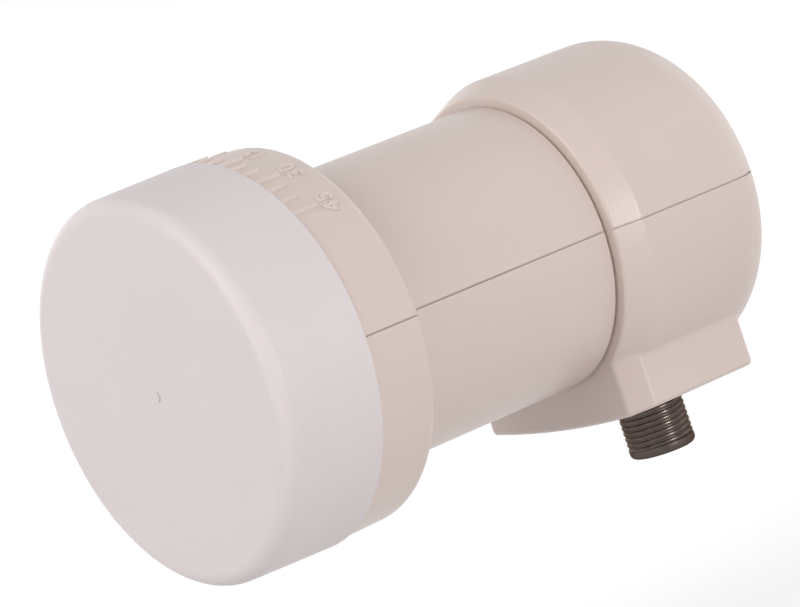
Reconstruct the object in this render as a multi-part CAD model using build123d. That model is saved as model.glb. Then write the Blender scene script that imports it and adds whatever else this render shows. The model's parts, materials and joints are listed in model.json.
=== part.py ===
"""Single-output satellite converter: feed cap, split plastic body, cast feed, board and coaxial jack.

Millimetres, +Z up. The feed axis is Y, the cap towards -Y. The origin is halfway along the clamping neck.
"""
import os

from build123d import *

# Clamping neck, the standard 40 mm seat
neck_radius = 20.0
neck_length = 36.6
neck_front = -neck_length / 2
neck_rear = neck_length / 2

# Plastic body in two halves
wall = 2.0
seam_gap = 0.24
seam_depth = 0.4
tongue_height = 0.8
tongue_thickness = 0.8
tongue_clearance = 0.1

# Collar behind the cap, with the spigot the cap slides on
collar_step = 6.0
collar_taper = 0.2
collar_length = 9.6
collar_rounding = 1.5
collar_front = neck_front - collar_length
collar_radius_front = neck_radius + collar_step
collar_radius_rear = collar_radius_front - collar_taper
spigot_step = 1.5
spigot_length = 12.8
spigot_radius = collar_radius_front - spigot_step
spigot_front = collar_front - spigot_length

# Skew scale on the top of the collar
scale_pitch = 5.5
scale_lines = 9
scale_long_every = 3
tick_width = 0.8
tick_top_width = 0.45
tick_height = 0.3
tick_long = 3.8
tick_short = 2.5

# Rear housing
groove_depth = 0.5
groove_width = 0.4
lip_step = 1.4
lip_rounding = 0.6
housing_step = 3.0
shoulder_length = 3.9
shoulder_rounding = 1.2
housing_length = 28.8
housing_rounding = 8.6
lip_radius = neck_radius + lip_step
housing_radius = neck_radius + housing_step
housing_rear = neck_rear + housing_length

# Skirt that shrouds the jack
skirt_near = 14.4
skirt_far = 18.6
skirt_length = 21.5
skirt_depth = 2.85
skirt_bottom_radius = 167.0
skirt_bottom_wall = 2.4
skirt_chamfer_x = 2.4
skirt_chamfer_y = 3.1
skirt_rounding = 0.9
skirt_bottom_rounding = 0.7
crease_rounding = 1.5
skirt_rear = neck_rear + skirt_length
skirt_drop = housing_radius + skirt_depth
skirt_floor = skirt_bottom_wall - skirt_drop

# Snap hooks that hold the two halves together
hook_spacing = 14.0
hook_width = 5.0
hook_thickness = 1.2
hook_drop = 4.0
hook_barb = 0.5
hook_barb_height = 1.0
hook_clearance = 0.2
hook_root = 2.6

# Ribs that locate the cast feed
tube_rib_inset = 5.3
tube_rib_thickness = 1.6
tray_rib_angles = (30, 150, 210, 330)
tray_rib_width = 1.6
tray_rib_length = 10.5
stop_width = 3.2
stop_thickness = 1.5

# Feed cap
cap_proud = 0.36
cap_taper = 0.31
cap_length = 15.2
cap_thickness = 1.5
cap_rounding = 2.2
cap_clearance = 0.1
cap_edge_rounding = 0.15
bead_height = 0.3
bead_width = 1.0
bead_setback = 3.2
bead_clearance = 0.1
gate_radius = 0.7
gate_height = 0.15
cap_bore = spigot_radius + cap_clearance
cap_radius_rear = collar_radius_front + cap_proud
cap_radius_front = cap_radius_rear - cap_taper
cap_front = collar_front - cap_length
bead_station = collar_front - bead_setback

# Square-section ring seal between cap and spigot
seal_thickness = 1.2
seal_setback = 8.0
seal_clearance = 0.05
seal_station = collar_front - seal_setback

# Cast feed: two choke rings, round waveguide, board tray and jack boss
guide_gap = 7.0
guide_wall = 2.0
guide_inset = 2.2
choke_clearance = 0.3
choke_inset = 0.6
choke_thickness = 1.8
choke_web = 2.0
choke_setback = 1.3
inner_choke_radius = 16.6
inner_choke_thickness = 1.4
inner_choke_inset = 1.6
tray_clearance = 0.5
tray_thickness = 1.2
tray_plate = 2.5
tray_depth = 11.5
board_setback = 5.5
guide_radius = neck_radius - wall - guide_gap
guide_bore = guide_radius - guide_wall
guide_front = spigot_front + guide_inset
choke_radius = spigot_radius - wall - choke_clearance
choke_front = spigot_front + choke_inset
choke_rear = collar_front - choke_setback
inner_choke_front = spigot_front + inner_choke_inset
tray_radius = housing_radius - wall - tray_clearance
tray_bore = tray_radius - tray_thickness
board_seat = neck_rear + board_setback
tray_rear = board_seat + tray_depth

# Circuit board behind the waveguide
board_clearance = 0.4
board_thickness = 1.0
board_radius = tray_bore - board_clearance
board_face = board_seat + board_thickness

# Shield cover with the closed end of the waveguide
gasket_thickness = 0.4
cover_clearance = 0.3
cover_wall = 2.0
cover_height = 9.0
cover_plate = 1.5
short_depth = 6.5
short_wall = 1.8
short_plate = 1.5
short_recess_radius = 7.5
post_radius = 2.6
gasket_web_angles = (29, 152, 277)
gasket_web_width = 1.2
absorber_thickness = 1.2
absorber_half_angle = 32
cover_radius = tray_bore - cover_clearance
cover_bore = cover_radius - cover_wall
cover_front = board_face + gasket_thickness
cover_plate_front = board_face + cover_height
cover_rear = cover_plate_front + cover_plate
short_radius = guide_bore + short_wall
short_face = board_face + short_depth

# Cover screws, on the circle midway between waveguide end and rim
part_circle = (short_radius + cover_bore) / 2
screw_angles = (45, 135, 225, 315)
screw_radius = 1.25
screw_clearance = 0.1
screw_depth = 2.2
screw_head_radius = 2.3
screw_head_height = 1.6
screw_slot_width = 0.6
screw_slot_depth = 0.8
screw_slot_reach = 1.6

# Pieces on the board
probe_width = 1.2
probe_thickness = 0.2
probe_gap = 0.1
probe_tunnel_width = 2.0
probe_tunnel_height = 1.2
low_angle = 170
low_radius = 2.7
low_height = 2.4
high_angle = 196
high_radius = 2.45
high_height = 2.2
tuning_radius = 1.75
tuning_gap = 1.0
tuning_head = 0.8
transistor_size = (1.6, 1.6, 0.8)
transistor_angles = (0, 90, 66)
mixer_size = (3.0, 3.0, 0.9)
mixer_angle = 112
if_size = (1.6, 3.0, 1.1)
if_angle = 246
regulator_size = (4.5, 2.5, 1.5)
regulator_angle = 296
capacitor_size = (2.0, 1.25, 0.6)
capacitor_angles = (12, 22, 77, 101, 258, 284, 334, 347)

# Coaxial jack
jack_setback = 13.3
jack_radius = 4.68
jack_length = 7.55
jack_tip_rounding = 0.9
jack_relief = 0.18
jack_relief_gap = 0.1
jack_root_step = 0.3
jack_bore = 3.3
jack_hole_clearance = 0.3
jack_seal_height = 1.45
jack_seal_width = 0.8
jack_inner_gap = 0.5
boss_half_width = 7.0
boss_rounding = 1.5
boss_setback = 1.0
boss_clearance = 0.2
insulator_recess = 0.4
insulator_front = 1.0
entry_radius = 0.8
contact_radius = 1.1
contact_length = 9.0
contact_bore = 0.55
contact_bore_depth = 6.0
wire_radius = 0.65
wire_clearance = 0.5
jack_station = neck_rear + jack_setback
jack_tip = -skirt_drop - jack_length
jack_thread_top = -skirt_drop - jack_relief_gap
jack_relief_radius = jack_radius - jack_relief
jack_root_radius = jack_relief_radius - jack_root_step
jack_seal_radius = jack_relief_radius + jack_seal_width
boss_front = board_seat + boss_setback
boss_rear = skirt_rear - wall - boss_clearance
boss_bottom = skirt_floor + jack_seal_height
jack_top = -tray_bore - jack_inner_gap
insulator_tip = jack_tip + insulator_recess
contact_tip = insulator_tip + insulator_front
contact_top = contact_tip + contact_length
wire_height = -part_circle


def turned(points):
    """Solid turned about the feed axis from (radius, station, corner radius) points."""
    face = make_face(Polyline(*[(r, y) for r, y, c in points], close=True))
    for r, y, c in points:
        if c > 0:
            corner = face.vertices().sort_by_distance((r, y, 0))[0]
            face = fillet(corner, c)
    return revolve(face, Axis.Y)


def disc(radius, y0, y1):
    """Round solid along the feed axis between two stations."""
    return Pos(0, (y0 + y1) / 2, 0) * Rot(90, 0, 0) * Cylinder(radius, y1 - y0)


def ring(inner, outer, y0, y1):
    """Round solid along the feed axis with a bore."""
    return disc(outer, y0, y1) - disc(inner, y0, y1)


def block(x0, x1, y0, y1, z0, z1):
    """Rectangular solid between two corners."""
    return Pos((x0 + x1) / 2, (y0 + y1) / 2, (z0 + z1) / 2) * Box(x1 - x0, y1 - y0, z1 - z0)


def upright(radius, z0, z1):
    """Round solid along the jack axis between two heights."""
    return Pos(0, jack_station, (z0 + z1) / 2) * Cylinder(radius, z1 - z0)


def around(angle):
    """Turn about the feed axis; 0 is +X and 90 is +Z."""
    return Rot(0, -angle, 0)


def rod(radius, y0, y1, angle):
    """Round solid parallel to the feed axis on the circle of board pieces."""
    return around(angle) * Pos(part_circle, 0, 0) * disc(radius, y0, y1)


def chip(size, angle):
    """Flat piece lying on the board: radial length, width and height."""
    length, width, height = size
    inner = part_circle - length / 2
    piece = block(inner, inner + length, board_face, board_face + height, -width / 2, width / 2)
    return around(angle) * piece


def outside(inset):
    """Round outside of the body, brought in by an inset."""
    return turned([
        (0, spigot_front, 0),
        (spigot_radius - inset, spigot_front, 0),
        (spigot_radius - inset, collar_front, 0),
        (collar_radius_front - inset, collar_front, 0),
        (collar_radius_rear - inset, neck_front, collar_rounding),
        (neck_radius - inset, neck_front, 0),
        (neck_radius - inset, neck_rear, 0),
        (lip_radius - inset, neck_rear, lip_rounding),
        (housing_radius - inset, neck_rear + shoulder_length, shoulder_rounding),
        (housing_radius - inset, housing_rear - inset, housing_rounding - inset),
        (0, housing_rear - inset, 0),
    ])


def inside(growth):
    """Round cavity of the body, widened by a growth."""
    return turned([
        (0, spigot_front, 0),
        (spigot_radius - wall + growth, spigot_front, 0),
        (spigot_radius - wall + growth, collar_front + wall, 0),
        (collar_radius_front - wall + growth, collar_front + wall, 0),
        (collar_radius_rear - wall + growth, neck_front - wall, 0),
        (neck_radius - wall + growth, neck_front - wall, 0),
        (neck_radius - wall + growth, neck_rear + wall, 0),
        (housing_radius - wall + growth, neck_rear + wall, 0),
        (housing_radius - wall + growth, housing_rear - wall + growth, housing_rounding - wall),
        (0, housing_rear - wall + growth, 0),
    ])


def skirt():
    """Outside of the jack skirt: chamfered near corner, slightly arched bottom, rounded edges."""
    plan = Polyline(
        (-skirt_far, neck_rear),
        (skirt_near - skirt_chamfer_x, neck_rear),
        (skirt_near, neck_rear + skirt_chamfer_y),
        (skirt_near, skirt_rear),
        (-skirt_far, skirt_rear),
        close=True,
    )
    solid = Pos(0, 0, -skirt_drop - wall) * extrude(make_face(plan), skirt_drop)
    centre = skirt_bottom_radius - skirt_drop
    arch = Pos((skirt_near - skirt_far) / 2, 0, centre) * disc(skirt_bottom_radius, neck_rear, skirt_rear)
    solid = solid & arch
    upright_edges = solid.edges().filter_by(Axis.Z)
    solid = fillet(upright_edges, skirt_rounding)
    bottom = solid.faces().sort_by(Axis.Z)[0]
    return fillet(bottom.edges(), skirt_bottom_rounding)


def skirt_cavity():
    """Space inside the skirt above its flat floor."""
    front = neck_rear + wall
    return block(wall - skirt_far, skirt_near - wall, front, skirt_rear - wall, skirt_floor, -wall)


def hook_sector(inner, outer, station, width, z0, z1):
    """Curved strips on both sides of the neck at one station, between two heights."""
    half = width / 2
    strip = ring(inner, outer, station - half, station + half)
    return strip & block(-neck_radius, neck_radius, station - half, station + half, z0, z1)


def tick(number):
    """One raised line of the skew scale with sloped sides, counted from the top."""
    length = tick_short
    if number % scale_long_every == 0:
        length = tick_long
    foot = collar_radius_rear - wall / 2
    section = Polyline(
        (-tick_width / 2, foot),
        (tick_width / 2, foot),
        (tick_width / 2, collar_radius_rear),
        (tick_top_width / 2, collar_radius_front + tick_height),
        (-tick_top_width / 2, collar_radius_front + tick_height),
        (-tick_width / 2, collar_radius_rear),
        close=True,
    )
    line = Pos(0, collar_front, 0) * extrude(Plane.XZ * make_face(section), -length)
    return Rot(0, number * scale_pitch, 0) * line


# Body before it is parted
body = outside(0) + skirt()
crease = [edge for edge in body.edges().filter_by(Axis.Y) if skirt_floor < edge.center().Z < -wall]
body = fillet(crease, crease_rounding)
body -= ring(neck_radius - groove_depth, lip_radius, neck_rear - groove_width, neck_rear)
body -= inside(0)
body -= skirt_cavity()
body += ring(choke_radius - stop_width, spigot_radius - wall / 2, choke_rear, choke_rear + stop_thickness)
for station in (neck_front + tube_rib_inset, 0, neck_rear - tube_rib_inset):
    half_rib = tube_rib_thickness / 2
    body += ring(guide_radius, neck_radius - wall / 2, station - half_rib, station + half_rib)
for angle in tray_rib_angles:
    rib = block(tray_bore, housing_radius - wall / 2, board_seat, board_seat + tray_rib_length,
                -tray_rib_width / 2, tray_rib_width / 2)
    body += around(angle) * rib - disc(tray_radius, board_seat, board_seat + tray_rib_length)
body -= upright(jack_relief_radius + jack_hole_clearance, jack_thread_top, boss_bottom)

# Grooves in the spigot for the ring seal and for the bead of the cap
seal_half = seal_thickness / 2 + seal_clearance
body -= ring(cap_bore - seal_thickness, cap_bore, seal_station - seal_half, seal_station + seal_half)
bead_half = bead_width / 2 + bead_clearance
bead_groove = cap_bore - bead_height - bead_clearance
body -= ring(bead_groove, cap_bore, bead_station - bead_half, bead_station + bead_half)

# Two half bodies with a shadow line, a tongue and snap hooks
reach = housing_radius * 3
upper_space = block(-reach, reach, -reach, reach, 0, reach)
lower_space = block(-reach, reach, -reach, reach, -reach, 0)
shadow_line = block(-reach, reach, collar_front, reach, -seam_gap / 2, seam_gap / 2) - outside(seam_depth)
tongue_space = block(-reach, reach, collar_front + wall, reach, -tongue_height / 2, tongue_height)
tongue_slot = block(-reach, reach, collar_front + wall, reach, 0, tongue_height + tongue_clearance)
tongue = (inside(tongue_thickness) - inside(0)) & tongue_space
slot = (inside(tongue_thickness + tongue_clearance) - inside(0)) & tongue_slot

upper_shell = (body & upper_space) - shadow_line - slot
lower_shell = ((body & lower_space) - shadow_line) + (tongue & body)
neck_bore = neck_radius - wall
for station in (-hook_spacing / 2, hook_spacing / 2):
    arm_outer = neck_bore - hook_clearance
    arm_inner = arm_outer - hook_thickness
    root_low = tongue_height + tongue_clearance + hook_clearance
    upper_shell += hook_sector(arm_inner, arm_outer, station, hook_width, -hook_drop, hook_root)
    upper_shell += hook_sector(arm_inner, neck_bore + wall / 2, station, hook_width, root_low, hook_root)
    barb_top = hook_barb_height - hook_drop
    upper_shell += hook_sector(arm_inner, neck_bore + hook_barb, station, hook_width, -hook_drop, barb_top)
    lower_shell -= hook_sector(neck_bore - wall / 2, neck_bore + hook_barb + hook_clearance, station,
                               hook_width + 2 * hook_clearance, -hook_drop - hook_clearance,
                               barb_top + hook_clearance)
for number in range(-scale_lines, scale_lines + 1):
    upper_shell += tick(number)

# Feed cap and its ring seal
feed_cap = turned([
    (0, cap_front, 0),
    (cap_radius_front, cap_front, cap_rounding),
    (cap_radius_rear, collar_front, cap_edge_rounding),
    (cap_bore, collar_front, 0),
    (cap_bore, cap_front + cap_thickness, cap_rounding - cap_thickness),
    (0, cap_front + cap_thickness, 0),
])
feed_cap += disc(gate_radius, cap_front - gate_height, cap_front)
feed_cap += turned([
    (cap_bore + cap_thickness / 3, bead_station - bead_width / 2, 0),
    (cap_bore, bead_station - bead_width / 2, 0),
    (cap_bore - bead_height, bead_station - bead_width / 6, 0),
    (cap_bore - bead_height, bead_station + bead_width / 6, 0),
    (cap_bore, bead_station + bead_width / 2, 0),
    (cap_bore + cap_thickness / 3, bead_station + bead_width / 2, 0),
])
seal_front = seal_station - seal_thickness / 2
cap_seal = ring(cap_bore - seal_thickness, cap_bore, seal_front, seal_front + seal_thickness)

# Cast feed
feed_casting = turned([
    (guide_bore, guide_front, 0),
    (guide_radius, guide_front, 0),
    (guide_radius, choke_rear - choke_web, 0),
    (inner_choke_radius - inner_choke_thickness, choke_rear - choke_web, 0),
    (inner_choke_radius - inner_choke_thickness, inner_choke_front, 0),
    (inner_choke_radius, inner_choke_front, 0),
    (inner_choke_radius, choke_rear - choke_web, 0),
    (choke_radius - choke_thickness, choke_rear - choke_web, 0),
    (choke_radius - choke_thickness, choke_front, 0),
    (choke_radius, choke_front, 0),
    (choke_radius, choke_rear, 0),
    (guide_radius, choke_rear, 0),
    (guide_radius, board_seat - tray_plate, 0),
    (tray_radius, board_seat - tray_plate, 0),
    (tray_radius, tray_rear, 0),
    (tray_bore, tray_rear, 0),
    (tray_bore, board_seat, 0),
    (guide_bore, board_seat, 0),
])
boss = block(-boss_half_width, boss_half_width, boss_front, boss_rear, boss_bottom, wire_height)
boss = fillet(boss.edges().filter_by(Axis.Z), boss_rounding)
boss -= disc(tray_bore, board_seat, boss_rear)
feed_casting += boss
feed_casting -= upright(jack_root_radius, boss_bottom, wire_height)
for angle in screw_angles:
    feed_casting -= rod(screw_radius, board_seat - tray_plate, board_seat, angle)

# Circuit board with screw holes
circuit_board = disc(board_radius, board_seat, board_face)
for angle in screw_angles:
    circuit_board -= rod(screw_radius + screw_clearance, board_seat, board_face, angle)

# Printed probes that reach into the waveguide
probe_inner = guide_bore / 2
probe_outer = part_circle - transistor_size[0] / 2 - probe_gap
probe_top = board_face + probe_thickness
probe = block(probe_inner, probe_outer, board_face, probe_top, -probe_width / 2, probe_width / 2)
horizontal_probe = around(0) * probe
vertical_probe = around(90) * probe

# Shield cover: rim, closed waveguide end, screw posts and holes for probes, wire and tuning screws
shield_cover = ring(cover_bore, cover_radius, cover_front, cover_plate_front)
shield_cover += disc(cover_radius, cover_plate_front, cover_rear)
shield_cover += ring(guide_bore, short_radius, cover_front, cover_plate_front)
shield_cover += disc(short_radius, short_face, cover_plate_front)
shield_cover -= disc(short_recess_radius, short_face + short_plate, cover_rear)
for angle in screw_angles:
    shield_cover += rod(post_radius, board_face, cover_plate_front, angle)
    shield_cover -= rod(screw_radius + screw_clearance, board_face, cover_rear, angle)
tunnel = block(probe_inner, part_circle, board_face, board_face + probe_tunnel_height,
               -probe_tunnel_width / 2, probe_tunnel_width / 2)
shield_cover -= around(0) * tunnel
shield_cover -= around(90) * tunnel
shield_cover -= upright(wire_radius + wire_clearance, -tray_radius, wire_height)
for angle in (low_angle, high_angle):
    shield_cover -= rod(tuning_radius, cover_plate_front, cover_rear, angle)

# Gasket under the rim and round the waveguide, joined by webs
cover_gasket = ring(cover_bore, cover_radius, board_face, cover_front)
cover_gasket += ring(guide_bore, short_radius, board_face, cover_front)
for angle in gasket_web_angles:
    web = block(short_radius - short_wall / 2, cover_bore + cover_wall / 2, board_face, cover_front,
                -gasket_web_width / 2, gasket_web_width / 2)
    cover_gasket += around(angle) * web
cover_gasket -= around(0) * tunnel
cover_gasket -= around(90) * tunnel

# Absorber pad glued under the cover plate, at the top
pad = ring(short_radius, cover_bore, cover_plate_front - absorber_thickness, cover_plate_front)
pad_cut = block(-reach, 0, -reach, reach, -reach, reach)
absorber_pad = pad - around(absorber_half_angle) * pad_cut
absorber_pad -= around(180 - absorber_half_angle) * pad_cut

# Screws through cover and board into the cast plate
cover_screws = []
head_top = cover_rear + screw_head_height
for angle in screw_angles:
    screw = rod(screw_radius, board_seat - screw_depth, cover_rear, angle)
    screw += rod(screw_head_radius, cover_rear, head_top, angle)
    for turn in (0, 90):
        cut = block(-screw_slot_reach, screw_slot_reach, head_top - screw_slot_depth, head_top,
                    -screw_slot_width / 2, screw_slot_width / 2)
        screw -= around(angle) * Pos(part_circle, 0, 0) * around(turn) * cut
    cover_screws.append(screw)

# Dielectric resonators, with a tuning screw over each
low_band_resonator = rod(low_radius, board_face, board_face + low_height, low_angle)
high_band_resonator = rod(high_radius, board_face, board_face + high_height, high_angle)
tuning_screws = []
for angle, height in ((low_angle, low_height), (high_angle, high_height)):
    screw_top = cover_rear + tuning_head
    screw = rod(tuning_radius, board_face + height + tuning_gap, screw_top, angle)
    cut = block(part_circle - tuning_radius, part_circle + tuning_radius, cover_rear, screw_top,
                -screw_slot_width / 2, screw_slot_width / 2)
    tuning_screws.append(screw - around(angle) * cut)

# Chips on the board
amplifier_transistors = [chip(transistor_size, angle) for angle in transistor_angles]
mixer_chip = chip(mixer_size, mixer_angle)
if_amplifier = chip(if_size, if_angle)
voltage_regulator = chip(regulator_size, regulator_angle)
chip_capacitors = [chip(capacitor_size, angle) for angle in capacitor_angles]

# Coaxial jack: body, insulator, contact with its wire to the board, and rubber seal
connector_shell = upright(jack_radius, jack_tip, jack_thread_top)
connector_shell = fillet(connector_shell.edges().sort_by(Axis.Z)[0], jack_tip_rounding)
connector_shell += upright(jack_relief_radius, jack_thread_top, boss_bottom)
connector_shell += upright(jack_root_radius, boss_bottom, jack_top)
connector_shell -= upright(jack_bore, jack_tip, jack_top)

connector_insulator = upright(jack_bore, insulator_tip, jack_top)
connector_insulator -= upright(entry_radius, insulator_tip, contact_tip)
connector_insulator -= upright(contact_radius, contact_tip, contact_top)
connector_insulator -= upright(wire_radius, contact_top, jack_top)

connector_contact = upright(contact_radius, contact_tip, contact_top)
connector_contact -= upright(contact_bore, contact_tip, contact_tip + contact_bore_depth)
connector_contact += upright(wire_radius, contact_top, wire_height)
connector_contact += Pos(0, jack_station, wire_height) * Sphere(wire_radius)
connector_contact += Pos(0, 0, wire_height) * disc(wire_radius, board_face, jack_station)

connector_seal = upright(jack_seal_radius, skirt_floor, boss_bottom)
connector_seal -= upright(jack_relief_radius, skirt_floor, boss_bottom)

nodes = {
    "feed_cap": feed_cap,
    "upper_shell": upper_shell,
    "lower_shell": lower_shell,
    "cap_seal": cap_seal,
    "feed_casting": feed_casting,
    "circuit_board": circuit_board,
    "horizontal_probe": horizontal_probe,
    "vertical_probe": vertical_probe,
    "shield_cover": shield_cover,
    "cover_gasket": cover_gasket,
    "absorber_pad": absorber_pad,
    "cover_screws": Compound(children=cover_screws),
    "tuning_screws": Compound(children=tuning_screws),
    "low_band_resonator": low_band_resonator,
    "high_band_resonator": high_band_resonator,
    "amplifier_transistors": Compound(children=amplifier_transistors),
    "mixer_chip": mixer_chip,
    "if_amplifier": if_amplifier,
    "voltage_regulator": voltage_regulator,
    "chip_capacitors": Compound(children=chip_capacitors),
    "connector_shell": connector_shell,
    "connector_insulator": connector_insulator,
    "connector_contact": connector_contact,
    "connector_seal": connector_seal,
}

os.makedirs("parts", exist_ok=True)
for name, shape in nodes.items():
    export_step(shape, "parts/" + name + ".step")
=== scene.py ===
"""Dressed satellite converter: smooth mouldings, scale figures, threaded jack, finishes and studio."""
import json
import logging
import math
from dataclasses import dataclass, field
from enum import Enum
from typing import Any, Dict, List, Optional, Sequence, Tuple, Union

import bpy
from mathutils import Matrix, Vector


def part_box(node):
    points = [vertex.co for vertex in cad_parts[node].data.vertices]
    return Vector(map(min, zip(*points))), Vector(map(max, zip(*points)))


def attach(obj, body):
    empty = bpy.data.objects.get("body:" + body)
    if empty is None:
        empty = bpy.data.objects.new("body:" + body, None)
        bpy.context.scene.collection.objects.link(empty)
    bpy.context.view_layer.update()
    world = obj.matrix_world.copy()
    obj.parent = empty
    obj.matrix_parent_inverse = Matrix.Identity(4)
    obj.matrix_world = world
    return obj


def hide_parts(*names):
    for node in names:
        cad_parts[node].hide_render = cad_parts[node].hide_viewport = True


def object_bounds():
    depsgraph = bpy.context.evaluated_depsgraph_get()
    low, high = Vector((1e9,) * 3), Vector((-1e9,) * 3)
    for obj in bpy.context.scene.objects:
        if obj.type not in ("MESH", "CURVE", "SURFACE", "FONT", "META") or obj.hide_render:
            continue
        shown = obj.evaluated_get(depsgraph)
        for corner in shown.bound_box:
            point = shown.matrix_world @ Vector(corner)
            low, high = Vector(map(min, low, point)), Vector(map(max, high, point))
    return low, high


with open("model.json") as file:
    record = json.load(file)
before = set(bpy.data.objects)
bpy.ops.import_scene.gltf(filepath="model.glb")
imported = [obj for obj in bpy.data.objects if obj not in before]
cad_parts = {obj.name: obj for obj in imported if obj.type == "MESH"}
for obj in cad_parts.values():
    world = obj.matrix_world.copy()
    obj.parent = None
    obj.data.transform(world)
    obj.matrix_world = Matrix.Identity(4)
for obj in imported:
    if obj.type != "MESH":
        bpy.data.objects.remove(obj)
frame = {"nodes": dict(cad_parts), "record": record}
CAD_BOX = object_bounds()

Colour = Tuple[float, float, float]
Number = Union[float, "Socket"]
Settings = Optional[Dict[str, Any]]
Inputs = Optional[Dict[Union[int, str], Any]]

MM = 0.001
ROOT = "root"
MERGE_DISTANCE = 0.0005 * MM
NOISE_MIDDLE = 0.5
WHITE = (1.0, 1.0, 1.0, 1.0)
LOG = logging.getLogger("converter")


class Slot(Enum):
    """Material slots of the record."""

    CAP = "cap_plastic"
    BODY = "body_plastic"
    SEAL = "seal_rubber"
    GASKET = "gasket_rubber"
    CASTING = "cast_metal"
    BOARD = "board_laminate"
    BRASS = "probe_brass"
    STEEL = "screw_steel"
    CERAMIC = "resonator_ceramic"
    CHIP = "chip_plastic"
    JACK = "jack_metal"
    INSULATOR = "insulator_plastic"


# Shader arithmetic and node trees
class Socket:
    """Output of a node that takes part in arithmetic; each operation adds a Math node."""

    def __init__(self, shader: "Shader", link: bpy.types.NodeSocket) -> None:
        """Keep the output and the shader that owns it."""
        self.shader = shader
        self.link = link

    def math(self, operation: str, *values: Number) -> "Socket":
        """Add one Math node.

        Args:
            operation: name of the node's operation.
            values: the node's inputs in order.

        Returns:
            The node's output.
        """
        return self.shader.out("ShaderNodeMath", {"operation": operation}, dict(enumerate(values)))

    def __add__(self, other: Number) -> "Socket":
        """Sum."""
        return self.math("ADD", self, other)

    def __radd__(self, other: Number) -> "Socket":
        """Sum with a number first."""
        return self.math("ADD", other, self)

    def __sub__(self, other: Number) -> "Socket":
        """Difference."""
        return self.math("SUBTRACT", self, other)

    def __rsub__(self, other: Number) -> "Socket":
        """Difference with a number first."""
        return self.math("SUBTRACT", other, self)

    def __mul__(self, other: Number) -> "Socket":
        """Product."""
        return self.math("MULTIPLY", self, other)

    def __rmul__(self, other: Number) -> "Socket":
        """Product with a number first."""
        return self.math("MULTIPLY", other, self)

    def __truediv__(self, other: Number) -> "Socket":
        """Quotient."""
        return self.math("DIVIDE", self, other)

    def __rtruediv__(self, other: Number) -> "Socket":
        """Quotient with a number first."""
        return self.math("DIVIDE", other, self)

    def __abs__(self) -> "Socket":
        """Size without sign."""
        return self.math("ABSOLUTE", self)

    def below(self, limit: Number) -> "Socket":
        """One where the value is under the limit, else nought."""
        return self.math("LESS_THAN", self, limit)

    def above(self, limit: Number) -> "Socket":
        """One where the value is over the limit, else nought."""
        return self.math("GREATER_THAN", self, limit)

    def within_one(self) -> "Socket":
        """Value held between nought and one."""
        return self.math("MINIMUM", self.math("MAXIMUM", self, 0.0), 1.0)


class Shader:
    """Node tree of one material or of the world.

    The Mix node's sockets for colours go by number, because its other kinds share their names.
    """

    mix_share = 0
    mix_first = 6
    mix_second = 7
    mix_result = 2

    def __init__(self, tree: bpy.types.NodeTree) -> None:
        """Start from an empty tree."""
        self.tree = tree
        self.tree.nodes.clear()

    def node(self, kind: str, settings: Settings = None, inputs: Inputs = None) -> bpy.types.Node:
        """Add any node.

        Args:
            kind: the node's type.
            settings: attributes, set before the inputs.
            inputs: values or outputs for the node's sockets, by name or number.

        Returns:
            The new node.
        """
        made = self.tree.nodes.new(kind)
        for name, value in (settings or {}).items():
            setattr(made, name, value)
        for name, value in (inputs or {}).items():
            if isinstance(value, Socket):
                self.tree.links.new(value.link, made.inputs[name])
            else:
                made.inputs[name].default_value = value
        return made

    def out(self, kind: str, settings: Settings = None, inputs: Inputs = None,
            output: Union[int, str] = 0) -> Socket:
        """Add any node and take one of its outputs.

        Args:
            kind: the node's type.
            settings: attributes, set before the inputs.
            inputs: values or outputs for the node's sockets.
            output: name or number of the output that is wanted.

        Returns:
            That output.
        """
        return Socket(self, self.node(kind, settings, inputs).outputs[output])

    def place(self) -> Socket:
        """Object coordinates, which are the frame's own metres."""
        return self.out("ShaderNodeTexCoord", output="Object")

    def seen(self) -> Socket:
        """Tell what the camera sees, straight, reflected or through a piece.

        Returns:
            One for such rays, else nought.
        """
        path = self.node("ShaderNodeLightPath")
        kinds = ("Camera", "Glossy", "Transmission")
        straight, reflected, through = (Socket(self, path.outputs["Is %s Ray" % kind]) for kind in kinds)
        return (straight + reflected + through).within_one()

    def axis(self, place: Socket, name: str) -> Socket:
        """One coordinate of a place."""
        return self.out("ShaderNodeSeparateXYZ", inputs={"Vector": place}, output=name)

    def noise(self, place: Socket, size: float, detail: float = 2.0) -> Socket:
        """Cloudy value with features of a given size in metres.

        Args:
            place: coordinates that it is read at.
            size: rough size of one cloud.
            detail: how many finer layers are added.

        Returns:
            A value round one half.
        """
        inputs = {"Vector": place, "Scale": 1 / size, "Detail": detail}
        return self.out("ShaderNodeTexNoise", inputs=inputs)

    def stretched(self, place: Socket, scale: Tuple[float, float, float]) -> Socket:
        """Coordinates scaled along each axis, for drawn-out marks."""
        return self.out("ShaderNodeMapping", inputs={"Vector": place, "Scale": scale})

    def mix(self, share: Number, first: Any, second: Any) -> Socket:
        """Blend of two colours.

        Args:
            share: how much of the second there is.
            first: colour or output.
            second: colour or output.

        Returns:
            The blended colour.
        """
        inputs = {self.mix_share: share, self.mix_first: opaque(first), self.mix_second: opaque(second)}
        return self.out("ShaderNodeMix", {"data_type": "RGBA"}, inputs, self.mix_result)

    def bump(self, height: Socket, strength: float, depth: float) -> Socket:
        """Normal from a height.

        Args:
            height: value of about nought to one.
            strength: how much of the bump shows.
            depth: height of one, in metres.

        Returns:
            The bent normal.
        """
        inputs = {"Height": height, "Strength": strength, "Distance": depth}
        return self.out("ShaderNodeBump", inputs=inputs, output="Normal")


def opaque(value: Any) -> Any:
    """Four numbers for a colour of three; anything else is passed on."""
    return (*value, 1.0) if isinstance(value, tuple) and len(value) == 3 else value


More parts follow.
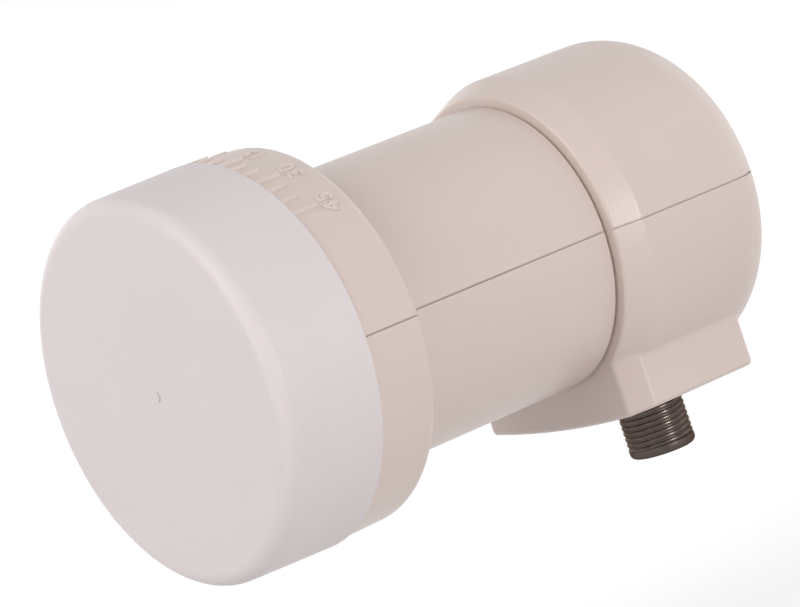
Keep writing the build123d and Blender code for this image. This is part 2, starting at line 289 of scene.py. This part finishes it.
# Finishes
@dataclass(frozen=True)
class Finish:
    """What every finish has: a name, a plain colour and a roughness."""

    name: str
    colour: Colour
    roughness: float

    def material(self) -> bpy.types.Material:
        """Make the material of this finish once and share it.

        Returns:
            The material.
        """
        found = bpy.data.materials.get(self.name)
        if found is not None:
            return found
        made = bpy.data.materials.new(self.name)
        made.use_nodes = True
        made.diffuse_color = opaque(self.colour)
        shader = Shader(made.node_tree)
        surface = self.surface(shader)
        shader.node("ShaderNodeOutputMaterial", inputs={"Surface": surface})
        return made

    def surface(self, shader: Shader) -> Socket:
        """Make the surface; each kind of finish has its own.

        Args:
            shader: tree that the nodes go into.

        Returns:
            The surface.
        """
        raise NotImplementedError

    def dress(self, piece: bpy.types.Object) -> None:
        """Put the material in the piece's only slot."""
        piece.data.materials.clear()
        piece.data.materials.append(self.material())


@dataclass(frozen=True)
class MouldedPlastic(Finish):
    """Spark-textured moulding with slight clouds in its colour and a few flecks.

    The body also has a raised_radius, beyond which the scale's tops get a painted highlight,
    and painted shade in the joint between the halves.
    """

    cloud_colour: Colour
    cloud_size: float = 14 * MM
    cloud_detail: float = 3.0
    cloud_gloss: float = 0.12
    grain_size: float = 0.22 * MM
    grain_detail: float = 1.0
    grain_gloss: float = 0.08
    grain_strength: float = 0.35
    grain_depth: float = 0.006 * MM
    fleck_spacing: float = 9 * MM
    fleck_radius: float = 0.16 * MM
    fleck_share: float = 0.12
    fleck_tone: float = 0.45
    fleck_strength: float = 0.8
    subsurface: float = 0.0
    subsurface_depth: float = 1.5 * MM
    raised_radius: float = 0.0
    # Painted highlight: colour of the scale's raised tops, paler as if lit.
    painted_highlight_colour: Colour = (0.685, 0.582, 0.538)
    # Painted shade in the joint between the halves, darker towards the front.
    joint_shade_half_width: float = 0.0
    joint_shade_end: float = 30 * MM
    joint_shade_colour: Colour = (0.42, 0.34, 0.3)

    def flecks(self, shader: Shader, place: Socket) -> Socket:
        """Mask of sparse specks in the plastic.

        Args:
            shader: tree that the nodes go into.
            place: coordinates.

        Returns:
            One on a speck, else nought.
        """
        cells = shader.node("ShaderNodeTexVoronoi", {"feature": "F1"},
                            {"Vector": place, "Scale": 1 / self.fleck_spacing})
        tint = Socket(shader, cells.outputs["Color"])
        chance = shader.out("ShaderNodeSeparateColor", inputs={0: tint})
        distance = Socket(shader, cells.outputs["Distance"])
        return distance.below(self.fleck_radius / self.fleck_spacing) * chance.below(self.fleck_share)

    def raised(self, shader: Shader, place: Socket) -> Socket:
        """Mask of the painted highlight on the scale's tops, which stand out from the collar on the upper
        half.

        Args:
            shader: tree that the nodes go into.
            place: coordinates.

        Returns:
            One on a top, else nought.
        """
        across = shader.axis(place, "X")
        height = shader.axis(place, "Z")
        outside = (across * across + height * height).above(self.raised_radius ** 2)
        return outside * height.above(0.0)

    def joint(self, shader: Shader, place: Socket) -> Socket:
        """Mask of painted shade in the joint between the halves, fading towards the rear.

        Args:
            shader: tree that the nodes go into.
            place: coordinates.

        Returns:
            Up to one in the joint, else nought.
        """
        line = abs(shader.axis(place, "Z")).below(self.joint_shade_half_width)
        fading = (1 - shader.axis(place, "Y") / self.joint_shade_end).within_one()
        return line * fading

    def surface(self, shader: Shader) -> Socket:
        """Make clouded plastic with a fine grain, and a painted highlight on the scale's tops and painted
        shade in the joint where it has them.

        Args:
            shader: tree that the nodes go into.

        Returns:
            The surface.
        """
        place = shader.place()
        cloud = shader.noise(place, self.cloud_size, self.cloud_detail)
        grain = shader.noise(place, self.grain_size, self.grain_detail)
        colour = shader.mix(cloud, self.colour, self.cloud_colour)
        dark = tuple(self.fleck_tone * value for value in self.colour)
        colour = shader.mix(self.flecks(shader, place) * self.fleck_strength, colour, dark)
        if self.raised_radius > 0:
            # Painted highlight on the scale's raised tops and figures.
            colour = shader.mix(self.raised(shader, place), colour, self.painted_highlight_colour)
        if self.joint_shade_half_width > 0:
            # Painted shade in the joint, varied by the clouds.
            colour = shader.mix(self.joint(shader, place) * cloud, colour, self.joint_shade_colour)
        uneven = (cloud - NOISE_MIDDLE) * self.cloud_gloss + (grain - NOISE_MIDDLE) * self.grain_gloss
        return shader.out("ShaderNodeBsdfPrincipled", inputs={
            "Base Color": colour,
            "Roughness": self.roughness + uneven,
            "Normal": shader.bump(grain, self.grain_strength, self.grain_depth),
            "Subsurface Weight": self.subsurface,
            "Subsurface Scale": self.subsurface_depth,
        })


@dataclass(frozen=True)
class TurnedMetal(Finish):
    """Plated, bare or cast metal with fine marks, drawn out along one direction where mark_scale says so."""

    worn_colour: Colour
    cloud_size: float = 2.5 * MM
    cloud_detail: float = 3.0
    cloud_gloss: float = 0.1
    mark_scale: Tuple[float, float, float] = (1.0, 1.0, 30.0)
    mark_size: float = 3 * MM
    mark_gloss: float = 0.15
    mark_strength: float = 0.3
    mark_depth: float = 0.002 * MM
    edge_tint: Colour = (1.0, 1.0, 1.0)

    def surface(self, shader: Shader) -> Socket:
        """Make metal with an uneven tone and turning marks.

        Args:
            shader: tree that the nodes go into.

        Returns:
            The surface.
        """
        place = shader.place()
        cloud = shader.noise(place, self.cloud_size, self.cloud_detail)
        marks = shader.noise(shader.stretched(place, self.mark_scale), self.mark_size)
        uneven = (marks - NOISE_MIDDLE) * self.mark_gloss + (cloud - NOISE_MIDDLE) * self.cloud_gloss
        return shader.out("ShaderNodeBsdfPrincipled", inputs={
            "Base Color": shader.mix(cloud, self.colour, self.worn_colour),
            "Metallic": 1.0,
            "Specular Tint": opaque(self.edge_tint),
            "Roughness": self.roughness + uneven,
            "Normal": shader.bump(marks, self.mark_strength, self.mark_depth),
        })


@dataclass(frozen=True)
class PlainSolid(Finish):
    """Rubber, ceramic, laminate or package plastic with a speckled tone."""

    speckle_colour: Colour
    speckle_size: float = 0.4 * MM
    speckle_detail: float = 3.0
    speckle_gloss: float = 0.2
    speckle_strength: float = 0.3
    speckle_depth: float = 0.01 * MM

    def surface(self, shader: Shader) -> Socket:
        """Make a speckled colour with a fine bump.

        Args:
            shader: tree that the nodes go into.

        Returns:
            The surface.
        """
        speckle = shader.noise(shader.place(), self.speckle_size, self.speckle_detail)
        return shader.out("ShaderNodeBsdfPrincipled", inputs={
            "Base Color": shader.mix(speckle, self.colour, self.speckle_colour),
            "Roughness": self.roughness + (speckle - NOISE_MIDDLE) * self.speckle_gloss,
            "Normal": shader.bump(speckle, self.speckle_strength, self.speckle_depth),
        })


FINISHES: Dict[Slot, Finish] = {
    Slot.CAP: MouldedPlastic("white_cap", (0.69, 0.624, 0.629), 0.5, (0.67, 0.604, 0.604),
                             subsurface=0.1),
    # The body's raised_radius gives the scale a painted highlight, and its joint_shade_half_width gives the
    # joint painted shade.
    Slot.BODY: MouldedPlastic("beige_body", (0.655, 0.55, 0.503), 0.35, (0.625, 0.52, 0.475),
                              raised_radius=26.06 * MM, joint_shade_half_width=0.1 * MM),
    Slot.SEAL: PlainSolid("black_seal", (0.02, 0.02, 0.02), 0.6, (0.035, 0.035, 0.035)),
    Slot.GASKET: PlainSolid("grey_gasket", (0.08, 0.08, 0.085), 0.7, (0.13, 0.13, 0.13),
                            speckle_size=0.2 * MM),
    Slot.CASTING: TurnedMetal("die_casting", (0.55, 0.55, 0.56), 0.45, (0.45, 0.45, 0.46),
                              mark_scale=(1.0, 1.0, 1.0), mark_size=0.5 * MM, mark_depth=0.02 * MM),
    Slot.BOARD: PlainSolid("board_laminate", (0.72, 0.68, 0.55), 0.5, (0.66, 0.62, 0.5)),
    Slot.BRASS: TurnedMetal("bare_brass", (0.72, 0.5, 0.22), 0.3, (0.6, 0.4, 0.16)),
    Slot.STEEL: TurnedMetal("plated_steel", (0.5, 0.5, 0.5), 0.3, (0.4, 0.4, 0.4)),
    Slot.CERAMIC: PlainSolid("fired_ceramic", (0.68, 0.6, 0.48), 0.45, (0.6, 0.52, 0.4),
                             speckle_size=0.3 * MM),
    Slot.CHIP: PlainSolid("black_package", (0.02, 0.02, 0.02), 0.5, (0.03, 0.03, 0.03),
                          speckle_size=0.15 * MM),
    # Painted dark reflection: the jack's colour and edge tint are darker than bare nickel, standing in for
    # the dark surroundings it reflects.
    Slot.JACK: TurnedMetal("nickel_painted_dark", (0.118, 0.094, 0.083), 0.27, (0.085, 0.067, 0.059),
                           edge_tint=(0.48, 0.43, 0.4)),
    Slot.INSULATOR: PlainSolid("white_insulator", (0.75, 0.74, 0.7), 0.35, (0.7, 0.68, 0.64),
                               speckle_size=0.8 * MM),
}


# Modelling helpers
def deselect() -> None:
    """Leave nothing selected, so that the next operator acts on its own piece alone."""
    if bpy.context.object is not None and bpy.context.object.mode != "OBJECT":
        bpy.ops.object.mode_set(mode="OBJECT")
    bpy.ops.object.select_all(action="DESELECT")


def activate(piece: bpy.types.Object) -> None:
    """Select one piece alone and make it the active one.

    Args:
        piece: object that the next operator acts on.
    """
    deselect()
    piece.select_set(True)
    bpy.context.view_layer.objects.active = piece


def settle(piece: bpy.types.Object, name: str) -> bpy.types.Object:
    """Put a piece's place into its mesh and name it.

    Args:
        piece: object that may be moved, turned or scaled.
        name: plain name for the object and its mesh.

    Returns:
        The same object, at the origin.
    """
    activate(piece)
    bpy.ops.object.transform_apply(location=True, rotation=True, scale=True)
    piece.name = name
    piece.data.name = name
    return piece


def close_up(piece: bpy.types.Object) -> None:
    """Merge doubled points and turn all faces outwards.

    Args:
        piece: closed mesh, or one whose open ends are cut off later.
    """
    activate(piece)
    bpy.ops.object.mode_set(mode="EDIT")
    bpy.ops.mesh.select_all(action="SELECT")
    bpy.ops.mesh.remove_doubles(threshold=MERGE_DISTANCE)
    bpy.ops.mesh.normals_make_consistent(inside=False)
    bpy.ops.object.mode_set(mode="OBJECT")


def smooth(piece: bpy.types.Object, angle: float) -> None:
    """Shade smooth except across edges sharper than an angle in degrees."""
    activate(piece)
    bpy.ops.object.shade_smooth_by_angle(angle=math.radians(angle))


def turn(profile: Sequence[Tuple[float, float]], centre: Vector, segments: int) -> bpy.types.Object:
    """Model a turned ring about an upright axis: a circle is extruded and resized from point to point.

    Args:
        profile: closed outline as (radius, height) in metres; the last point joins the first.
        centre: point on the axis.
        segments: faces round the ring.

    Returns:
        The ring, with its faces pointing outwards.
    """
    deselect()
    radius, height = profile[0]
    start = (centre.x, centre.y, height)
    bpy.ops.mesh.primitive_circle_add(vertices=segments, radius=radius, location=start)
    ring = bpy.context.object
    bpy.ops.object.mode_set(mode="EDIT")
    bpy.ops.mesh.select_all(action="SELECT")
    for next_radius, next_height in [*profile[1:], profile[0]]:
        step = (0.0, 0.0, next_height - height)
        bpy.ops.mesh.extrude_edges_move(TRANSFORM_OT_translate={"value": step})
        share = next_radius / radius
        middle = (centre.x, centre.y, next_height)
        bpy.ops.transform.resize(value=(share, share, 1.0), center_override=middle)
        radius, height = next_radius, next_height
    bpy.ops.object.mode_set(mode="OBJECT")
    close_up(ring)
    return ring


# Pieces of the converter
@dataclass
class Mouldings:
    """Cap and body halves of the frame, with their loose faces joined and shaded smooth."""

    pieces: Dict[str, Tuple[str, Slot]] = field(default_factory=lambda: {
        "feed_cap": ("cap_moulding", Slot.CAP),
        "upper_shell": ("upper_moulding", Slot.BODY),
        "lower_shell": ("lower_moulding", Slot.BODY),
    })
    crease: float = 28.0
    flat_face_weight: int = 90

    def build(self) -> List[bpy.types.Object]:
        """Make a smooth copy of each moulding that stands for its node."""
        return [self.copy(node, name, slot) for node, (name, slot) in self.pieces.items()]

    def copy(self, node: str, name: str, slot: Slot) -> bpy.types.Object:
        """Copy one node, join its faces and even out its shading.

        Args:
            node: name of the frame's node.
            name: name of the new piece.
            slot: slot that the piece takes its finish from.

        Returns:
            The new piece.
        """
        source = frame["nodes"][node]
        made = bpy.data.objects.new(name, source.data.copy())
        made.data.name = name
        bpy.context.scene.collection.objects.link(made)
        activate(made)
        if made.data.has_custom_normals:
            bpy.ops.mesh.customdata_custom_splitnormals_clear()
        bpy.ops.object.mode_set(mode="EDIT")
        bpy.ops.mesh.select_all(action="SELECT")
        bpy.ops.mesh.remove_doubles(threshold=MERGE_DISTANCE)
        bpy.ops.object.mode_set(mode="OBJECT")
        smooth(made, self.crease)
        bpy.ops.object.modifier_add(type="WEIGHTED_NORMAL")
        even = made.modifiers[-1]
        even.keep_sharp = True
        even.weight = self.flat_face_weight
        bpy.ops.object.modifier_apply(modifier=even.name)
        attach(made, ROOT)
        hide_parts(node)
        FINISHES[slot].dress(made)
        return made


@dataclass
class SkewScale:
    """Raised figures behind the long lines of the scale on the collar."""

    figures: Tuple[str, ...] = ("45", "30", "15", "0", "15", "30", "45")
    spacing: float = 16.5
    collar_front: float = -27.9 * MM
    collar_radius: float = 25.86 * MM
    line_length: float = 3.8 * MM
    gap: float = 0.7 * MM
    height: float = 2.3 * MM
    advance: float = 1.8 * MM
    edge_slope: float = 0.09 * MM
    edge_steps: int = 1
    outline_steps: int = 6
    sink: float = 0.25 * MM
    rise: float = 0.21 * MM
    capital_share: float = 0.7
    crease: float = 40.0

    def build(self) -> List[bpy.types.Object]:
        """Model every figure and join them into one piece.

        Returns:
            The piece, alone in a list.
        """
        made: List[bpy.types.Object] = []
        middle = (len(self.figures) - 1) / 2
        step = math.degrees(self.advance / self.collar_radius)
        for number, word in enumerate(self.figures):
            angle = (middle - number) * self.spacing
            for index, figure in enumerate(word):
                turned = (index - (len(word) - 1) / 2) * step
                made.append(self.figure(figure, angle - turned))
        activate(made[0])
        for piece in made:
            piece.select_set(True)
        bpy.ops.object.join()
        piece = settle(bpy.context.object, "scale_figures")
        close_up(piece)
        smooth(piece, self.crease)
        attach(piece, ROOT)
        FINISHES[Slot.BODY].dress(piece)
        return [piece]

    def figure(self, text: str, angle: float) -> bpy.types.Object:
        """Model one figure on the collar, its head towards the cap.

        Args:
            text: the figure.
            angle: turn from the top towards +X, in degrees.

        Returns:
            The figure as a mesh in its place.
        """
        deselect()
        bpy.ops.object.text_add()
        label = bpy.context.object
        label.data.body = text
        label.data.align_x = "CENTER"
        label.data.size = self.height / self.capital_share
        label.data.extrude = (self.sink + self.rise) / 2 - self.edge_slope
        label.data.bevel_depth = self.edge_slope
        label.data.bevel_resolution = self.edge_steps
        label.data.resolution_u = self.outline_steps
        bpy.ops.object.convert(target="MESH")
        label = bpy.context.object
        foot = self.collar_front + self.line_length + self.gap + self.height
        level = self.collar_radius + (self.rise - self.sink) / 2
        place = Matrix.Translation((0.0, foot, level)) @ Matrix.Rotation(math.pi, 4, "Z")
        label.matrix_world = Matrix.Rotation(math.radians(angle), 4, "Y") @ place
        return settle(label, "figure")


@dataclass
class CoaxJack:
    """Threaded end of the jack: a turned sleeve with a plain rounded lip and a helical thread."""

    thread_pitch: float = 25.4 / 32 * MM
    thread_depth: float = 0.28 * MM
    groove_depth: float = 0.13 * MM
    ridge_points: int = 56
    ridge_inset: float = 0.03 * MM
    turn_gap: float = 0.02 * MM
    spare_turns: int = 2
    cut_tolerance: float = 0.0001 * MM
    lip_length: float = 1.4 * MM
    lip_rounding: float = 0.85 * MM
    lip_steps: int = 8
    bore_radius: float = 3.3 * MM
    bore_edge: float = 0.15 * MM
    relief_radius: float = 4.5 * MM
    relief_bottom: float = -25.95 * MM
    relief_top: float = -22.0 * MM
    root_radius: float = 4.2 * MM
    segments: int = 96
    sleeve_crease: float = 35.0
    thread_crease: float = 50.0

    def build(self) -> List[bpy.types.Object]:
        """Model sleeve and thread, which stand for the frame's jack.

        Returns:
            Both pieces.
        """
        low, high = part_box("connector_shell")
        centre = (low + high) / 2
        radius = (high.x - low.x) / 2
        sleeve = self.sleeve(centre, radius, low.z, high.z)
        thread = self.thread(centre, radius - self.ridge_inset, low.z + self.lip_rounding)
        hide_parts("connector_shell")
        for piece in (sleeve, thread):
            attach(piece, ROOT)
            FINISHES[Slot.JACK].dress(piece)
        return [sleeve, thread]

    def sleeve(self, centre: Vector, radius: float, tip: float, top: float) -> bpy.types.Object:
        """Turn the jack's body: bore, rounded lip, thread core, relief and inner end.

        Args:
            centre: point on the jack's axis.
            radius: outer radius of the thread.
            tip: height of the open end.
            top: height of the inner end.

        Returns:
            The sleeve.
        """
        core = radius - self.ridge_inset - self.groove_depth
        profile = [(self.bore_radius, top), (self.bore_radius, tip + self.bore_edge)]
        profile.append((self.bore_radius + self.bore_edge, tip))
        for step in range(self.lip_steps + 1):
            angle = math.radians(-90 + 90 * step / self.lip_steps)
            profile.append((radius - self.lip_rounding + self.lip_rounding * math.cos(angle),
                            tip + self.lip_rounding + self.lip_rounding * math.sin(angle)))
        profile.append((radius, tip + self.lip_length - self.groove_depth))
        profile.append((core, tip + self.lip_length))
        profile.append((core, self.relief_bottom))
        profile.append((self.relief_radius, self.relief_bottom))
        profile.append((self.relief_radius, self.relief_top))
        profile.append((self.root_radius, self.relief_top))
        profile.append((self.root_radius, top))
        piece = settle(turn(profile, centre, self.segments), "jack_sleeve")
        smooth(piece, self.sleeve_crease)
        return piece

    def thread(self, centre: Vector, radius: float, bottom: float) -> bpy.types.Object:
        """Screw a rounded ridge round the axis and cut both ends level.

        Args:
            centre: point on the jack's axis.
            radius: outer radius of the thread.
            bottom: height where the thread ends, inside the lip.

        Returns:
            The thread.
        """
        deselect()
        start = bottom - self.spare_turns * self.thread_pitch
        turns = math.ceil((self.relief_bottom - start) / self.thread_pitch) + 1
        middle = (centre.x, centre.y, start)
        bpy.ops.mesh.primitive_circle_add(vertices=self.ridge_points, radius=1.0, location=middle)
        piece = bpy.context.object
        bpy.ops.object.mode_set(mode="EDIT")
        half_height = (self.thread_pitch - self.turn_gap) / 2
        bpy.ops.transform.resize(value=(self.thread_depth, half_height, 1.0), center_override=middle)
        bpy.ops.transform.rotate(value=math.pi / 2, orient_axis="X", center_override=middle)
        bpy.ops.transform.translate(value=(radius - self.thread_depth, 0.0, 0.0))
        bpy.ops.object.mode_set(mode="OBJECT")
        bpy.ops.object.modifier_add(type="SCREW")
        helix = piece.modifiers[-1]
        helix.axis = "Z"
        helix.screw_offset = self.thread_pitch
        helix.iterations = turns
        helix.steps = self.segments
        helix.render_steps = self.segments
        bpy.ops.object.modifier_apply(modifier=helix.name)
        close_up(piece)
        bpy.ops.object.mode_set(mode="EDIT")
        for level, side in ((self.relief_bottom, 1.0), (bottom, -1.0)):
            bpy.ops.mesh.select_all(action="SELECT")
            bpy.ops.mesh.bisect(
                plane_co=(centre.x, centre.y, level),
                plane_no=(0.0, 0.0, side),
                use_fill=True,
                clear_outer=True,
                threshold=self.cut_tolerance,
            )
        bpy.ops.object.mode_set(mode="OBJECT")
        close_up(piece)
        settle(piece, "jack_thread")
        smooth(piece, self.thread_crease)
        return piece


@dataclass
class InnerWorks:
    """Nodes of the frame, which keep their shape and take their slot's finish."""

    def build(self) -> List[bpy.types.Object]:
        """Dress every node by the slot that the record gives it.

        Returns:
            The nodes.
        """
        dressed: List[bpy.types.Object] = []
        for part in frame["record"]["subparts"]:
            node = frame["nodes"][part["node"]]
            FINISHES[Slot(part["material_slot"])].dress(node)
            dressed.append(node)
        return dressed


# Studio
@dataclass(frozen=True)
class Lamp:
    """Soft square lamp, placed by its direction from the object."""

    name: str
    direction: Tuple[float, float, float]
    side: float
    power: float


@dataclass
class Studio:
    """Camera at the photograph's angle, pale floor, even surround and soft lamps."""

    camera_place: Tuple[float, float, float] = (0.4809, -0.3455, 0.0548)
    azimuth: float = 54.51
    elevation: float = 5.38
    roll: float = 18.66
    lens: float = 202.5
    sensor_width: float = 36.0
    nearest_seen: float = 0.01
    farthest_seen: float = 100.0
    floor_side: float = 12.0
    floor_drop: float = 26 * MM
    floor_colour: Colour = (0.8, 0.8, 0.8)
    floor_shade: float = 0.98
    floor_cloud: float = 0.4
    near_lift: float = 0.4
    far_lift: float = 0.66
    lift_reach: Tuple[float, float] = (0.25, 1.2)
    surround: float = 0.46
    lamp_distance: float = 1.2
    lamps: Tuple[Lamp, ...] = (
        Lamp("cap_side_lamp", (0.05, -0.87, 0.48), 1.0, 7.9),
        Lamp("near_side_lamp", (0.97, 0.1, 0.03), 0.26, 5.9),
        Lamp("far_side_lamp", (-0.98, 0.05, 0.12), 1.0, 4.0),
        Lamp("rear_lamp", (0.15, 0.98, 0.2), 1.4, 4.0),
    )

    def axes(self) -> Tuple[Vector, Vector, Vector]:
        """Work out how the camera is turned.

        Returns:
            Its right, up and back directions.
        """
        angles = (self.azimuth, self.elevation, self.roll)
        azimuth, elevation, roll = (math.radians(angle) for angle in angles)
        level = math.cos(elevation)
        back = Vector((math.sin(azimuth) * level, -math.cos(azimuth) * level, math.sin(elevation)))
        right = Vector((math.cos(azimuth), math.sin(azimuth), 0.0))
        up = back.cross(right)
        turned = math.cos(roll) * right - math.sin(roll) * up
        return turned, back.cross(turned), back

    def build(self) -> None:
        """Set up camera, floor, surround and lamps."""
        bpy.context.scene.view_settings.view_transform = "Standard"
        self.camera()
        self.floor()
        self.world()
        for lamp in self.lamps:
            self.lamp(lamp)

    def camera(self) -> None:
        """Place the camera where the photograph was taken from."""
        deselect()
        bpy.ops.object.camera_add()
        camera = bpy.context.object
        right, up, back = self.axes()
        turn_matrix = Matrix((right, up, back)).transposed().to_4x4()
        camera.matrix_world = Matrix.Translation(self.camera_place) @ turn_matrix
        camera.data.lens = self.lens
        camera.data.sensor_width = self.sensor_width
        camera.data.clip_start = self.nearest_seen
        camera.data.clip_end = self.farthest_seen
        bpy.context.scene.camera = camera

    def floor(self) -> None:
        """Lay a pale floor below the object."""
        deselect()
        level = CAD_BOX[0].z - self.floor_drop
        bpy.ops.mesh.primitive_plane_add(size=self.floor_side, location=(0.0, 0.0, level))
        floor = settle(bpy.context.object, "studio_floor")
        material = bpy.data.materials.new("pale_floor")
        material.use_nodes = True
        shader = Shader(material.node_tree)
        shader.node("ShaderNodeOutputMaterial", inputs={"Surface": self.floor_surface(shader)})
        floor.data.materials.append(material)

    def floor_surface(self, shader: Shader) -> Socket:
        """Make a matt floor that the camera sees white apart from the shadow, and that is clear from below.

        Args:
            shader: tree that the nodes go into.

        Returns:
            The surface.
        """
        place = shader.place()
        cloud = shader.noise(place, self.floor_cloud)
        shade = tuple(self.floor_shade * value for value in self.floor_colour)
        tone = shader.mix(cloud, self.floor_colour, shade)
        matt = shader.out("ShaderNodeBsdfDiffuse", inputs={"Color": tone})
        away = shader.out("ShaderNodeVectorMath", {"operation": "LENGTH"}, {0: place}, "Value")
        near, far = self.lift_reach
        share = ((away - near) / (far - near)).within_one()
        lift = shader.mix(share, (self.near_lift,) * 3, (self.far_lift,) * 3)
        glow = shader.out("ShaderNodeEmission", inputs={"Color": lift, "Strength": 1.0})
        lifted = shader.out("ShaderNodeAddShader", inputs={0: matt, 1: glow})
        above = shader.out("ShaderNodeMixShader", inputs={0: shader.seen(), 1: matt, 2: lifted})
        under = shader.out("ShaderNodeNewGeometry", output="Backfacing")
        clear = shader.out("ShaderNodeBsdfTransparent")
        return shader.out("ShaderNodeMixShader", inputs={0: under, 1: above, 2: clear})

    def world(self) -> None:
        """Even surround light; the camera and reflections see it white."""
        world = bpy.data.worlds.new("studio_surround")
        world.use_nodes = True
        bpy.context.scene.world = world
        shader = Shader(world.node_tree)
        light = shader.out("ShaderNodeBackground", inputs={"Color": WHITE, "Strength": self.surround})
        white = shader.out("ShaderNodeBackground", inputs={"Color": WHITE, "Strength": 1.0})
        surface = shader.out("ShaderNodeMixShader", inputs={0: shader.seen(), 1: light, 2: white})
        shader.node("ShaderNodeOutputWorld", inputs={"Surface": surface})

    def lamp(self, lamp: Lamp) -> None:
        """Hang one lamp that points at the object.

        Args:
            lamp: its direction, size and power.
        """
        deselect()
        direction = Vector(lamp.direction).normalized()
        bpy.ops.object.light_add(type="AREA", location=direction * self.lamp_distance)
        made = bpy.context.object
        made.name = lamp.name
        made.rotation_euler = direction.to_track_quat("Z", "Y").to_euler()
        made.data.shape = "SQUARE"
        made.data.size = lamp.side
        made.data.energy = lamp.power


def main() -> None:
    """Build every sub-assembly in order and report its pieces."""
    logging.basicConfig(level=logging.INFO, format="%(message)s")
    for assembly in (InnerWorks(), Mouldings(), SkewScale(), CoaxJack()):
        for piece in assembly.build():
            LOG.info("%s: %s, %d faces", type(assembly).__name__, piece.name, len(piece.data.polygons))
    Studio().build()


if __name__ == "__main__":
    main()
